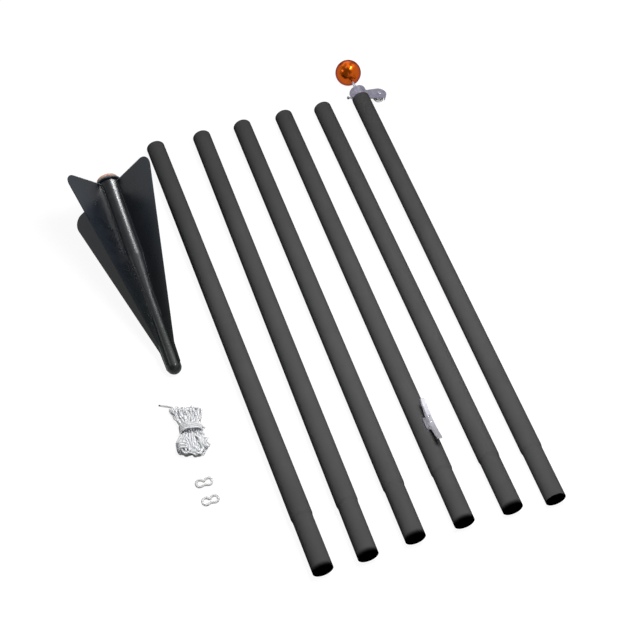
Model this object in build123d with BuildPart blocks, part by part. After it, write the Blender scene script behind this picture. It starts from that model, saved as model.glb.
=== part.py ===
from build123d import *
import math
import os

# Sectional flagpole kit, knocked down and laid out on a floor.
# All sizes are in millimetres. +Y runs along the pole sections from foot to head,
# +X runs across the row and +Z is up. The floor is z = 0.

os.makedirs("parts", exist_ok=True)

# Pole sections
section_count = 6
section_length = 1395.0
tube_radius = 25.4
tube_wall = 1.5
foot_length = 132.0          # reduced foot that slides into the section below
foot_cone = 8.0              # cone from the reduced foot to the full tube
slide_clearance = 0.08       # radial, foot in bore
rim_round = 0.4

bore_radius = tube_radius - tube_wall
foot_radius = bore_radius - slide_clearance
foot_bore_radius = foot_radius - tube_wall

# Where each section lies: foot across, foot along, and its small turn in degrees
section_foot_x = [-274.0, -171.0, -59.0, 57.0, 172.0, 273.0]
section_foot_y = [-704.0, -702.0, -694.0, -691.0, -692.0, -699.0]
section_turn = [1.7, 0.4, 0.0, -0.4, -0.5, -1.1]

# Truck on the head of the last section
collar_radius = 24.6
collar_height = 34.0
collar_top_round = 2.5
spigot_depth = 30.0
spigot_wall = 4.0
spindle_hole_depth = 14.0
arm_centre = 64.0            # sheave axle from the pole axis
arm_axial = 17.0             # sheave axle above the pole rim
arm_head_radius = 21.0
arm_root_width = 27.0
arm_thickness = 3.5
arm_top = 4.0                # upper face of the arm from the pole axis
arm_seat = 0.2               # gap between collar and arm root
keeper_wall = 2.2
keeper_drop = 17.0
keeper_angle = 30.0
keeper_slot_width = 5.0
keeper_slot_height = 10.0
guard_length = 9.0
guard_width = 16.0
guard_drop = 10.0
guard_clearance = 4.0

# Sheave, axle and retainer under the arm
sheave_radius = 15.5
sheave_thickness = 17.0
sheave_groove_depth = 4.5
sheave_groove_width = 10.0
sheave_hub_radius = 7.5
sheave_hub_rise = 0.6
axle_radius = 4.0
axle_clearance = 0.1
axle_head_radius = 6.0
axle_head_height = 1.8
sheave_end_play = 0.4
retainer_radius = 12.8
retainer_thickness = 2.4

# Set screw in the collar
screw_radius = 2.2
screw_rise = 7.0             # above the pole rim
screw_reach = 15.0           # out of the collar
screw_embed = 3.0            # into the collar wall
screw_head_radius = 4.2
screw_head_length = 4.5

# Finial
ball_radius = 38.0
spindle_radius = 4.0
spindle_exposed = 49.0
spindle_in_ball = 20.0

# Cleat on the fourth section
cleat_section = 3
cleat_from_foot = 253.0
cleat_angle = 17.0           # degrees from straight up, towards +X
cleat_length = 112.0
cleat_width = 11.0
cleat_base_length = 34.0
cleat_base_width = 17.0
cleat_base_height = 9.0
cleat_neck_length = 25.0
cleat_horn_root = 9.0
cleat_horn_tip = 5.0
cleat_horn_lift = 5.0
cleat_horn_height = 21.0     # top of the horns above the tube
cleat_seat = 0.2
cleat_round = 1.6

# Ground spike
spike_length = 600.0
spike_x = -478.0
spike_mouth_y = 500.0
spike_turn = 3.0
sleeve_radius = 30.5
sleeve_wall = 2.0
sleeve_straight = 255.0
sleeve_taper = 115.0
stem_radius = 18.5
ring_radius = 35.5
ring_height = 9.0
ring_round = 3.0
liner_rise = 10.0
liner_depth = 138.0
liner_clearance = 0.1
fin_count = 4
fin_reach = 150.0
fin_thickness = 2.6
fin_top = 14.0               # fins start this far below the mouth
fin_corner = 34.0
fin_tip_reach = 26.0
fin_toe = 56.5               # parallel end of each fin, beside the stem
fin_kink_round = 40.0
fin_toe_round = 6.0
fin_toe_taper = 2.0
fin_seat = 0.2

# Clips
clip_length = 42.0
clip_width = 24.0
clip_rod = 3.0
clip_notch = 6.5
clip_waist = 2.5
clip_end_round = 7.5
clip_notch_round = 2.2
clip_x = [-459.0, -457.0]
clip_y = [-400.0, -449.0]
clip_turn = [-1.0, 3.0]

# Rope hank and its loose end
rope_radius = 2.5
hank_x = -451.0
hank_y = -262.0
hank_turn = -5.0
hank_length = 142.0
hank_stations = [-0.5, -0.34, 0.14, 0.3, 0.46]
hank_widths = [46.0, 78.0, 42.0, 42.0, 70.0]
hank_heights = [20.0, 30.0, 38.0, 38.0, 22.0]
tail_points = [(-27.0, 66.6, 9.0), (-31.0, 75.5, 5.0), (-40.0, 83.0, 2.6), (-53.0, 90.0, 2.6)]
tail_arcs = [16.0, 16.0]


def frame_on(point, x_dir, z_dir):
    """Gives the location that carries a piece's own frame to a place in the layout."""
    return Plane(origin=point, x_dir=x_dir, z_dir=z_dir).location


def section_frame(index):
    """Own frame of a section: +Z along the tube from foot to head, +X across, +Y down."""
    turn = math.radians(section_turn[index])
    rise = section_rise if index == section_count - 1 else 0.0
    along = (-math.sin(turn) * math.cos(rise), math.cos(turn) * math.cos(rise), math.sin(rise))
    across = (math.cos(turn), math.sin(turn), 0.0)
    step = foot_length + foot_cone
    height = tube_radius * (math.cos(rise) + math.tan(rise) * math.sin(rise)) - step * math.sin(rise)
    return frame_on((section_foot_x[index], section_foot_y[index], height), across, along)


# The last section rests on its ball, so its head lies a little higher than its foot.
ball_from_foot = section_length + collar_height + spindle_exposed + ball_radius
ball_lever = ball_from_foot - foot_length - foot_cone
section_rise = math.asin((ball_radius - tube_radius) / ball_lever)

pieces = []


def keep(part, name, place):
    """Names a finished piece, puts it in its place and stores it for export."""
    placed = part.moved(place)
    placed.label = name
    pieces.append(placed)
    return placed


# One section, made once: a drawn tube with its foot swaged down
with BuildPart() as section:
    with BuildSketch(Plane.XZ) as wall:
        with BuildLine():
            Polyline(
                (foot_bore_radius, 0),
                (foot_radius, 0),
                (foot_radius, foot_length),
                (tube_radius, foot_length + foot_cone),
                (tube_radius, section_length),
                (bore_radius, section_length),
                (bore_radius, foot_length + foot_cone),
                (foot_bore_radius, foot_length),
                close=True,
            )
        make_face()
    revolve(axis=Axis.Z)
    rims = section.edges().filter_by(GeomType.CIRCLE)
    chamfer(rims.group_by(Axis.Z)[0], rim_round)
    chamfer(section.edges().filter_by(GeomType.CIRCLE).group_by(Axis.Z)[-1], rim_round)

for index in range(section_count):
    keep(section.part, f"pole_section_{index + 1}", section_frame(index))

# Truck frame: on the pole rim, rolled until the retainer comes down to the floor
truck_roll = 10.5
head_frame = section_frame(section_count - 1) * Location((0, 0, section_length), (0, 0, truck_roll))

with BuildPart() as truck_collar:
    with BuildSketch(Plane.XZ):
        with BuildLine():
            Polyline(
                (0, collar_height - spindle_hole_depth),
                (spindle_radius, collar_height - spindle_hole_depth),
                (spindle_radius, collar_height),
                (collar_radius, collar_height),
                (collar_radius, 0),
                (bore_radius - slide_clearance, 0),
                (bore_radius - slide_clearance, -spigot_depth),
                (bore_radius - slide_clearance - spigot_wall, -spigot_depth),
                (bore_radius - slide_clearance - spigot_wall, spigot_wall),
                (0, spigot_wall),
                close=True,
            )
        make_face()
    revolve(axis=Axis.Z)
    fillet(truck_collar.edges().filter_by(GeomType.CIRCLE).group_by(Axis.Z)[-1].sort_by(SortBy.RADIUS)[-1],
           collar_top_round)
    with BuildSketch(Plane.YZ.offset(-collar_radius - 1)):
        with Locations((0, screw_rise)):
            Circle(screw_radius)
    extrude(amount=screw_embed + 1, mode=Mode.SUBTRACT)
keep(truck_collar.part, "truck_collar", head_frame)

# The arm is a flat teardrop: broad over the sheave, narrower where it meets the collar.
# The frame's +Y is down, so the upper face lies at -arm_top.
arm_plane = Plane(origin=(0, -arm_top, arm_axial), x_dir=(1, 0, 0), z_dir=(0, 1, 0))
root_radius = collar_radius + arm_seat

with BuildPart() as truck_arm:
    with BuildSketch(arm_plane):
        with Locations((arm_centre, 0)):
            Circle(arm_head_radius)
        with Locations((root_radius / 2, 0)):
            Rectangle(root_radius, arm_root_width)
        make_hull()
    extrude(amount=arm_thickness)
    with BuildSketch(Plane.XY.offset(-spigot_depth)):
        Circle(root_radius)
    extrude(amount=3 * collar_height, mode=Mode.SUBTRACT)
    with BuildSketch(arm_plane):
        with Locations((arm_centre, 0)):
            Circle(axle_radius)
    extrude(amount=arm_thickness, mode=Mode.SUBTRACT)
keep(truck_arm.part, "truck_arm", head_frame)

# Keeper: a short curved wall hanging from the arm's end, so the rope can't jump the sheave
under_arm = arm_plane.offset(arm_thickness)
keeper_inner = arm_head_radius - keeper_wall

with BuildPart() as rope_keeper:
    with BuildSketch(under_arm):
        with Locations((arm_centre, 0)):
            Circle(arm_head_radius)
            Circle(keeper_inner, mode=Mode.SUBTRACT)
        with BuildLine():
            reach = 2 * arm_head_radius
            Polyline(
                (arm_centre, 0),
                (arm_centre + reach, reach * math.tan(math.radians(keeper_angle))),
                (arm_centre + reach, -reach * math.tan(math.radians(keeper_angle))),
                close=True,
            )
        make_face(mode=Mode.INTERSECT)
    extrude(amount=keeper_drop)
    with BuildSketch(Plane.YZ.offset(arm_centre)):
        with Locations((-arm_top + arm_thickness + keeper_drop / 2, arm_axial)):
            SlotOverall(keeper_slot_height, keeper_slot_width)
    extrude(amount=2 * arm_head_radius, mode=Mode.SUBTRACT)
keep(rope_keeper.part, "rope_keeper", head_frame)

# Guard: a block under the arm's root that fills the gap between pole and sheave
guard_start = arm_centre - sheave_radius - guard_clearance - guard_length
with BuildPart() as rope_guard:
    with BuildSketch(under_arm):
        with Locations((guard_start + guard_length / 2, 0)):
            RectangleRounded(guard_length, guard_width, 2)
    extrude(amount=guard_drop)
keep(rope_guard.part, "rope_guard", head_frame)

# Sheave: a grooved wheel with a raised hub on each side
sheave_top = -arm_top + arm_thickness + sheave_end_play + sheave_hub_rise
sheave_frame = head_frame * frame_on((arm_centre, sheave_top, arm_axial), (1, 0, 0), (0, 1, 0))
sheave_bore = axle_radius + axle_clearance
groove_half = sheave_groove_width / 2
sheave_middle = sheave_thickness / 2

with BuildPart() as sheave:
    with BuildSketch(Plane.XZ):
        with BuildLine():
            Polyline(
                (sheave_bore, -sheave_hub_rise),
                (sheave_hub_radius, -sheave_hub_rise),
                (sheave_hub_radius, 0),
                (sheave_radius, 0),
                (sheave_radius, sheave_middle - groove_half),
            )
            ThreePointArc(
                (sheave_radius, sheave_middle - groove_half),
                (sheave_radius - sheave_groove_depth, sheave_middle),
                (sheave_radius, sheave_middle + groove_half),
            )
            Polyline(
                (sheave_radius, sheave_middle + groove_half),
                (sheave_radius, sheave_thickness),
                (sheave_hub_radius, sheave_thickness),
                (sheave_hub_radius, sheave_thickness + sheave_hub_rise),
                (sheave_bore, sheave_thickness + sheave_hub_rise),
                (sheave_bore, -sheave_hub_rise),
            )
        make_face()
    revolve(axis=Axis.Z)
keep(sheave.part, "sheave", sheave_frame)

# Retainer: a plain disc that holds the sheave on its axle
retainer_top = sheave_top + sheave_thickness + sheave_hub_rise + sheave_end_play
retainer_frame = head_frame * frame_on((arm_centre, retainer_top, arm_axial), (1, 0, 0), (0, 1, 0))
with BuildPart() as sheave_retainer:
    with BuildSketch():
        Circle(retainer_radius)
        Circle(axle_radius, mode=Mode.SUBTRACT)
    extrude(amount=retainer_thickness)
    fillet(sheave_retainer.edges().filter_by(GeomType.CIRCLE).group_by(Axis.Z)[-1].sort_by(SortBy.RADIUS)[-1],
           retainer_thickness / 3)
keep(sheave_retainer.part, "sheave_retainer", retainer_frame)

# Axle: a rivet through arm, sheave and retainer, with a low domed head at each end
axle_length = retainer_top + retainer_thickness + arm_top
axle_frame = head_frame * frame_on((arm_centre, -arm_top, arm_axial), (1, 0, 0), (0, 1, 0))
with BuildPart() as sheave_axle:
    with BuildSketch(Plane.XY.offset(-axle_head_height)):
        Circle(axle_head_radius)
    extrude(amount=axle_head_height)
    with BuildSketch():
        Circle(axle_radius)
    extrude(amount=axle_length)
    with BuildSketch(Plane.XY.offset(axle_length)):
        Circle(axle_head_radius)
    extrude(amount=axle_head_height)
    ends = sheave_axle.edges().filter_by(GeomType.CIRCLE).group_by(Axis.Z)
    fillet(ends[0] + ends[-1], axle_head_height * 0.8)
keep(sheave_axle.part, "sheave_axle", axle_frame)

# Set screw through the collar wall, on the side away from the arm
screw_start = -collar_radius + screw_embed
with BuildPart() as set_screw:
    with BuildSketch(Plane.YZ.offset(screw_start)):
        with Locations((0, screw_rise)):
            Circle(screw_radius)
    extrude(amount=-(screw_embed + screw_reach - screw_head_length))
    with BuildSketch(Plane.YZ.offset(-collar_radius - screw_reach)):
        with Locations((0, screw_rise)):
            Circle(screw_head_radius)
    extrude(amount=screw_head_length)
    chamfer(set_screw.edges().filter_by(GeomType.CIRCLE).group_by(Axis.X)[0], 0.6)
keep(set_screw.part, "set_screw", head_frame)

# Finial: a thin spindle in the collar's top, and the ball on it
ball_centre = collar_height + spindle_exposed + ball_radius
with BuildPart() as finial_spindle:
    with BuildSketch(Plane.XY.offset(collar_height - spindle_hole_depth)):
        Circle(spindle_radius)
    extrude(amount=spindle_hole_depth + spindle_exposed + spindle_in_ball)
keep(finial_spindle.part, "finial_spindle", head_frame)

with BuildPart() as finial_ball:
    with Locations((0, 0, ball_centre)):
        Sphere(ball_radius)
    with BuildSketch(Plane.XY.offset(ball_centre - ball_radius - 1)):
        Circle(spindle_radius)
    extrude(amount=spindle_in_ball + 1, mode=Mode.SUBTRACT)
keep(finial_ball.part, "finial_ball", head_frame)

# Cleat: a saddle base, a neck and two horns that rise towards their tips.
# Its side view is drawn with the tube's axis as base line, along Z and out along -Y.
cleat_frame = section_frame(cleat_section) * Location((0, 0, cleat_from_foot), (0, 0, cleat_angle))
cleat_plane = Plane(origin=(-cleat_width / 2, 0, 0), x_dir=(0, 0, 1), z_dir=(1, 0, 0))
horn_top = tube_radius + cleat_horn_height
horn_half = cleat_length / 2
neck_half = cleat_neck_length / 2
horn_under = horn_top - cleat_horn_root
tip_top = horn_top + cleat_horn_lift

with BuildPart() as cleat:
    with BuildSketch(cleat_plane):
        with BuildLine():
            Spline((-horn_half, tip_top), (0, horn_top), (horn_half, tip_top))
            RadiusArc((horn_half, tip_top), (horn_half, tip_top - cleat_horn_tip), cleat_horn_tip * 0.55)
            Line((horn_half, tip_top - cleat_horn_tip), (neck_half, horn_under))
            Line((neck_half, horn_under), (neck_half, tube_radius))
            Line((neck_half, tube_radius), (-neck_half, tube_radius))
            Line((-neck_half, tube_radius), (-neck_half, horn_under))
            Line((-neck_half, horn_under), (-horn_half, tip_top - cleat_horn_tip))
            RadiusArc((-horn_half, tip_top - cleat_horn_tip), (-horn_half, tip_top), cleat_horn_tip * 0.55)
        make_face()
    extrude(amount=cleat_width)
    with BuildSketch(Plane(origin=(0, -tube_radius + cleat_base_height, 0), x_dir=(0, 0, 1), z_dir=(0, -1, 0))):
        RectangleRounded(cleat_base_length, cleat_base_width, 5)
    extrude(amount=cleat_base_height + 4)
    with BuildSketch(Plane.XY.offset(-cleat_length)):
        Circle(tube_radius + cleat_seat)
    extrude(amount=2 * cleat_length, mode=Mode.SUBTRACT)
keep(cleat.part, "cleat", cleat_frame)

# Ground spike, drawn with its mouth at the origin and its tip down along -Z
corner_depth = fin_top + fin_corner
toe_depth = spike_length - stem_radius
kink_depth = toe_depth - fin_toe
slope = math.atan2(fin_reach - fin_tip_reach, kink_depth - corner_depth)
fin_foot = fin_reach * math.cos(math.radians(45))
spike_rise = math.atan2(fin_foot - stem_radius, spike_length - stem_radius - corner_depth)
spike_heading = math.radians(spike_turn)
spike_axis = (
    -math.sin(spike_heading) * math.cos(spike_rise),
    math.cos(spike_heading) * math.cos(spike_rise),
    math.sin(spike_rise),
)
spike_across = (math.cos(spike_heading), math.sin(spike_heading), 0.0)
spike_height = fin_foot * math.cos(spike_rise) + corner_depth * math.sin(spike_rise)
spike_frame = frame_on((spike_x, spike_mouth_y, spike_height), spike_across, spike_axis)

with BuildPart() as spike_sleeve:
    with BuildSketch(Plane.XZ):
        with BuildLine():
            Line((0, -spike_length), (0, -sleeve_straight - sleeve_taper))
            Polyline(
                (0, -sleeve_straight - sleeve_taper),
                (stem_radius - sleeve_wall, -sleeve_straight - sleeve_taper),
                (sleeve_radius - sleeve_wall, -sleeve_straight),
                (sleeve_radius - sleeve_wall, 0),
                (sleeve_radius, 0),
                (sleeve_radius, -sleeve_straight),
                (stem_radius, -sleeve_straight - sleeve_taper),
                (stem_radius, -spike_length + stem_radius),
            )
            RadiusArc((stem_radius, -spike_length + stem_radius), (0, -spike_length), stem_radius)
        make_face()
    revolve(axis=Axis.Z)

with BuildPart() as spike_ring:
    with BuildSketch(Plane.XY.offset(-ring_height)):
        Circle(ring_radius)
        Circle(sleeve_radius, mode=Mode.SUBTRACT)
    extrude(amount=ring_height)
    fillet(spike_ring.edges().filter_by(GeomType.CIRCLE).sort_by(SortBy.RADIUS)[-2:], ring_round)

liner_radius = sleeve_radius - sleeve_wall - liner_clearance
with BuildPart() as spike_liner:
    with BuildSketch(Plane.XY.offset(liner_rise)):
        Circle(liner_radius)
        Circle(bore_radius, mode=Mode.SUBTRACT)
    extrude(amount=-liner_depth)

# One fin is a flat blade: level top, rounded shoulder, straight taper, short parallel toe
with BuildPart() as fin_blank:
    with BuildSketch(Plane.XZ.offset(-fin_thickness / 2)) as fin_outline:
        with BuildLine():
            FilletPolyline(
                (0, -fin_top),
                (fin_reach, -fin_top),
                (fin_reach, -corner_depth),
                (fin_tip_reach, -kink_depth),
                (fin_tip_reach - fin_toe_taper, -toe_depth),
                (0, -toe_depth),
                radius=[fin_corner * 0.8, fin_corner * 0.8, fin_kink_round, fin_toe_round],
            )
            Line((0, -toe_depth), (0, -fin_top))
        make_face()
    extrude(amount=fin_thickness)
    with BuildSketch(Plane.XZ):
        with BuildLine():
            Polyline(
                (0, 1),
                (sleeve_radius + fin_seat, 1),
                (sleeve_radius + fin_seat, -sleeve_straight),
                (stem_radius + fin_seat, -sleeve_straight - sleeve_taper),
                (stem_radius + fin_seat, -spike_length),
                (0, -spike_length),
                close=True,
            )
        make_face()
    revolve(axis=Axis.Z, mode=Mode.SUBTRACT)

# The spike lies on two fins and on the nose of its stem, and is let down until it touches
lowest_fin = fin_blank.part.moved(spike_frame * Location((0, 0, 0), (0, 0, 45))).bounding_box().min.Z
lowest_stem = spike_sleeve.part.moved(spike_frame).bounding_box().min.Z
spike_frame = Location((0, 0, -min(lowest_fin, lowest_stem))) * spike_frame
keep(spike_sleeve.part, "spike_sleeve", spike_frame)
keep(spike_ring.part, "spike_ring", spike_frame)
keep(spike_liner.part, "spike_liner", spike_frame)
for index in range(fin_count):
    turned = spike_frame * Location((0, 0, 0), (0, 0, 45 + 360 * index / fin_count))
    keep(fin_blank.part, f"spike_fin_{index + 1}", turned)

# Clips: a round rod bent to a closed ring, notched on one side and waisted on the other
half_long = clip_length / 2 - clip_rod
half_wide = clip_width / 2 - clip_rod
with BuildPart() as clip:
    with BuildLine() as clip_path:
        FilletPolyline(
            (-half_long, -half_wide),
            (-half_long / 2, -half_wide),
            (0, -half_wide + clip_waist),
            (half_long / 2, -half_wide),
            (half_long, -half_wide),
            (half_long, half_wide),
            (clip_notch, half_wide),
            (0, half_wide - clip_notch),
            (-clip_notch, half_wide),
            (-half_long, half_wide),
            radius=[
                clip_end_round, 5, 8, 5, clip_end_round,
                clip_end_round, clip_notch_round, clip_notch_round, clip_notch_round, clip_end_round,
            ],
            close=True,
        )
    start = clip_path.line ^ 0
    with BuildSketch(Plane(origin=start.position, z_dir=clip_path.line % 0)):
        Circle(clip_rod)
    sweep(path=clip_path.line)
for index in range(len(clip_x)):
    spot = Location((clip_x[index], clip_y[index], clip_rod), (0, 0, clip_turn[index]))
    keep(clip.part, f"clip_{index + 1}", spot)

# Rope hank: one plain solid of its outer shape, lying on the floor
hank_frame = Location((hank_x, hank_y, 0), (0, 0, hank_turn))
with BuildPart() as rope_hank:
    for station, width, height in zip(hank_stations, hank_widths, hank_heights):
        with BuildSketch(Plane(origin=(0, station * hank_length, height / 2), x_dir=(1, 0, 0), z_dir=(0, 1, 0))):
            Ellipse(width / 2, height / 2)
    loft()
keep(rope_hank.part, "rope_hank", hank_frame)

# The rope's loose end leaves the hank's end face and lies on the floor
with BuildPart() as rope_tail:
    with BuildLine() as tail_path:
        FilletPolyline(*tail_points, radius=tail_arcs)
    with BuildSketch(Plane(origin=tail_points[0], z_dir=tail_path.line % 0)):
        Circle(rope_radius)
    sweep(path=tail_path.line)
keep(rope_tail.part, "rope_tail", hank_frame)
tail_length = tail_path.wires()[0].length
print(f"tail length {tail_length:.1f}, arcs {tail_arcs},"
      f" volume {rope_tail.part.volume:.0f} of {math.pi * rope_radius ** 2 * tail_length:.0f}")

# Centre the layout on its own footprint and write one file for each piece
boxes = [piece.bounding_box() for piece in pieces]
middle_x = (min(box.min.X for box in boxes) + max(box.max.X for box in boxes)) / 2
middle_y = (min(box.min.Y for box in boxes) + max(box.max.Y for box in boxes)) / 2
shift = Location((-middle_x, -middle_y, 0))
for piece in pieces:
    placed = piece.moved(shift)
    placed.label = piece.label
    export_step(placed, f"parts/{piece.label}.step")
    size = placed.bounding_box()
    print(f"{piece.label:18s} x {size.min.X:8.1f} {size.max.X:8.1f}  y {size.min.Y:8.1f} {size.max.Y:8.1f}"
          f"  z {size.min.Z:7.2f} {size.max.Z:7.2f}  solids {len(placed.solids())}")
print("shift", shift.position)
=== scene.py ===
# %% [markdown]
# # A sectional flagpole kit, laid out on a white floor
#
# The object is a flagpole that has been taken apart: six black tubes, a ball and a
# pulley truck on the last of them, a cleat, a finned ground spike, a hank of rope and
# two clips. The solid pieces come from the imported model, in metres, and this file gives
# them their surfaces. What is soft or very small, such as the rope, is made here.

import math

import bpy
import numpy as np
from mathutils import Matrix, Vector


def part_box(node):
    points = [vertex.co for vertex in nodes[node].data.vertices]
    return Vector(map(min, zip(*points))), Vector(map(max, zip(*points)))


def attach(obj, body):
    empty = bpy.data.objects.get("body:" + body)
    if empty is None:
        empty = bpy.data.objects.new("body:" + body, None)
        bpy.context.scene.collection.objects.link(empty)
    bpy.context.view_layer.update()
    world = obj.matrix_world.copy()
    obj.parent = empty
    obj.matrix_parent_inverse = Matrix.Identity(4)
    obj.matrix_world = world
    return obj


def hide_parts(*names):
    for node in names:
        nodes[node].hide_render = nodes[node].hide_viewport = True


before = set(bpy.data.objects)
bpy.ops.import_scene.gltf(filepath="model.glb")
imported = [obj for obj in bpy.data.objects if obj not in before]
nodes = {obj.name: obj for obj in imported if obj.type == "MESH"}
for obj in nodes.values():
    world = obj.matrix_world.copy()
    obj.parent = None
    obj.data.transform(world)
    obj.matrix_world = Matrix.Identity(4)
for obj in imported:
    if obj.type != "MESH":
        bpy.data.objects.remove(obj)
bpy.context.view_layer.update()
MM = 0.001

# %% [markdown]
# ## Camera
#
# The picture was taken from the near ends of the tubes, 51 degrees above the floor and
# 18 degrees to the left of their length, with a moderate lens. A camera is easiest to
# set by the point that it looks at, its two angles and its distance, so its place is
# worked out from those.

# %% Camera
LOOKS_AT = Vector((0.0398, -0.1041, 0.0))
AZIMUTH = math.radians(18.05)
ELEVATION = math.radians(51.07)
DISTANCE = 3.013
FIELD_OF_VIEW = math.radians(30.0)
PICTURE_WIDTH = 640
PIXELS_RIGHT = 0.6        # the photograph's frame sits this little to the left

view = Vector((
    math.sin(AZIMUTH) * math.cos(ELEVATION),
    math.cos(AZIMUTH) * math.cos(ELEVATION),
    -math.sin(ELEVATION),
))
camera_data = bpy.data.cameras.new("camera")
camera_data.sensor_fit = "HORIZONTAL"
camera_data.angle = FIELD_OF_VIEW
camera_data.shift_x = -PIXELS_RIGHT / PICTURE_WIDTH
camera_data.clip_end = 50.0
camera = bpy.data.objects.new("camera", camera_data)
camera.location = LOOKS_AT - view * DISTANCE
camera.rotation_euler = view.to_track_quat("-Z", "Y").to_euler()
bpy.context.scene.collection.objects.link(camera)
bpy.context.scene.camera = camera
print("camera at", [round(c, 3) for c in camera.location])

# %% [markdown]
# ## Nodes and colours
#
# Every surface below is a small tree of shader nodes. One function adds a node with its
# settings and its links, so that a tree reads as a list of steps. A socket whose name
# occurs twice on its node is given by its number: a Map Range reads from i1 to i2 and
# gives i3 to i4, and a Mix of colours goes from i6 to i7. A second function turns a colour
# as people write it, in sRGB hex, to the linear values that the shader works in.

# %% Node helper and colour helper
COLOURS = {"data_type": "RGBA"}
SOFT_STEP = {"interpolation_type": "SMOOTHSTEP"}


def linear(code):
    """The linear RGBA of an sRGB hex colour."""
    channels = [int(code[i:i + 2], 16) / 255 for i in (1, 3, 5)]
    return [c / 12.92 if c <= 0.04045 else ((c + 0.055) / 1.055) ** 2.4
            for c in channels] + [1.0]


def add(tree, kind, settings=None, **inputs):
    """Adds a shader node. An input is a value, or another node's output. i0 is input 0."""
    node = tree.nodes.new("ShaderNode" + kind)
    for name, value in (settings or {}).items():
        setattr(node, name, value)
    for name, value in inputs.items():
        key = int(name[1:]) if name[0] == "i" and name[1:].isdigit() else name.replace("_", " ")
        socket = node.inputs[key]
        if isinstance(value, bpy.types.NodeSocket):
            tree.links.new(value, socket)
        else:
            socket.default_value = value
    return node


def start_material(name):
    """A new material with an empty tree."""
    material = bpy.data.materials.new(name)
    material.use_nodes = True
    tree = material.node_tree
    tree.nodes.clear()
    return material, tree


def finish_material(tree, shader):
    """Ends a tree with its output."""
    output = tree.nodes.new("ShaderNodeOutputMaterial")
    tree.links.new(shader.outputs[0], output.inputs["Surface"])


def dress(material, *names):
    """Gives carried-over solids their surface."""
    for name in names:
        data = nodes[name].data
        data.materials.clear()
        data.materials.append(material)
    print(material.name, "on", ", ".join(names))


# %% [markdown]
# ## Where the round pieces lie
#
# A finish on a round piece needs the piece's own axis: how far along it a place is, how
# far out, and whether the surface faces out or into the bore. The axis is measured on
# the solid itself. A long piece's vertices spread most along it, which is what the first
# direction of a singular value decomposition gives.

# %% Axes measured on the solids


def ends_of(name):
    """The middles of a long round piece's two ends, the far one last."""
    spots = np.array([v.co for v in nodes[name].data.vertices])
    along = np.linalg.svd(spots - spots.mean(0), full_matrices=False)[2][0]
    along *= np.sign(along[1])
    reach = spots @ along
    near = spots[reach < reach.min() + 0.5 * MM]
    far = spots[reach > reach.max() - 0.5 * MM]
    return Vector(near.mean(0)), Vector(far.mean(0))


def round_frame(tree, start, direction):
    """For a round piece: metres along its axis, the vector out from it, and the sampler."""
    sampler = add(tree, "TexCoord")
    reach = add(tree, "VectorMath", {"operation": "SUBTRACT"},
                i0=sampler.outputs["Object"], i1=start)
    along = add(tree, "VectorMath", {"operation": "DOT_PRODUCT"},
                i0=reach.outputs[0], i1=direction)
    on_axis = add(tree, "VectorMath", {"operation": "SCALE"},
                  i0=direction, Scale=along.outputs["Value"])
    outwards = add(tree, "VectorMath", {"operation": "SUBTRACT"},
                   i0=reach.outputs[0], i1=on_axis.outputs[0])
    return along.outputs["Value"], outwards.outputs[0], sampler


pole_ends = [ends_of(f"pole_section_{index}") for index in range(1, 7)]
for index, (near, far) in enumerate(pole_ends, 1):
    print("section", index, "length", round((far - near).length, 4), "m")

# %% [markdown]
# ## Poles: satin black powder coat
#
# The tubes are drawn aluminium with a baked polyester powder. It gives an even charcoal
# that shades softly from side to side, with a fine orange peel and slight clouds. The
# real peel is about 1 mm, finer than a pixel, so it is drawn at 3 mm. Satin powder
# mirrors nothing sharp: the pale sheen that it would lay over the whole tube is taken
# into the coat's colour, and the shader's own specular level is nil. The bores are
# painted nearly black as painted shade, and so is a band round the lip of a reduced end,
# where the rolled lip curves away and lies in shade.

# %% Powder coat
COAT = "#484848"
COAT_LIGHTER = "#515152"
# painted shade: the near black of the bores and of the band at a near end
PAINTED_SHADE_BLACK = "#040404"
PEEL = 3.0 * MM
CLOUD = 80.0 * MM
LIP = 6.0 * MM            # painted shade round a section's near end
LAST_LIP = 1.0 * MM       # and on the last section, whose edge is plain


def powder_coat(index):
    near, far = pole_ends[index - 1]
    material, tree = start_material(f"black_powder_coat_{index}")
    along, outwards, sampler = round_frame(tree, near, (far - near).normalized())
    spot = sampler.outputs["Object"]
    cloud = add(tree, "TexNoise", Vector=spot, Scale=1 / CLOUD, Detail=3.0)
    peel = add(tree, "TexNoise", Vector=spot, Scale=1 / PEEL, Detail=2.0)
    facing = add(tree, "VectorMath", {"operation": "DOT_PRODUCT"},
                 i0=outwards, i1=sampler.outputs["Normal"])
    # The bores and a band at the near end are painted near black, as painted shade.
    bore = add(tree, "Math", {"operation": "LESS_THAN"}, i0=facing.outputs["Value"], i1=0.0)
    lip_end = LIP if index < 6 else LAST_LIP
    lip = add(tree, "MapRange", SOFT_STEP,
              i0=along, i1=0.2 * lip_end, i2=2.2 * lip_end, i3=0.97, i4=0.0)
    dark = add(tree, "Math", {"operation": "MAXIMUM"}, i0=bore.outputs[0], i1=lip.outputs[0])
    coat = add(tree, "Mix", COLOURS,
               i0=cloud.outputs[0], i6=linear(COAT), i7=linear(COAT_LIGHTER))
    colour = add(tree, "Mix", COLOURS,
                 i0=dark.outputs[0], i6=coat.outputs[2], i7=linear(PAINTED_SHADE_BLACK))
    rough = add(tree, "MapRange", i0=cloud.outputs[0], i1=0.3, i2=0.7, i3=0.48, i4=0.56)
    bump = add(tree, "Bump", Strength=0.25, Distance=0.2 * MM, Height=peel.outputs[0])
    shader = add(tree, "BsdfPrincipled", Base_Color=colour.outputs[2],
                 Roughness=rough.outputs[0], Specular_IOR_Level=0.0, Normal=bump.outputs[0])
    finish_material(tree, shader)
    dress(material, f"pole_section_{index}")


for index in range(1, 7):
    powder_coat(index)

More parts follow.
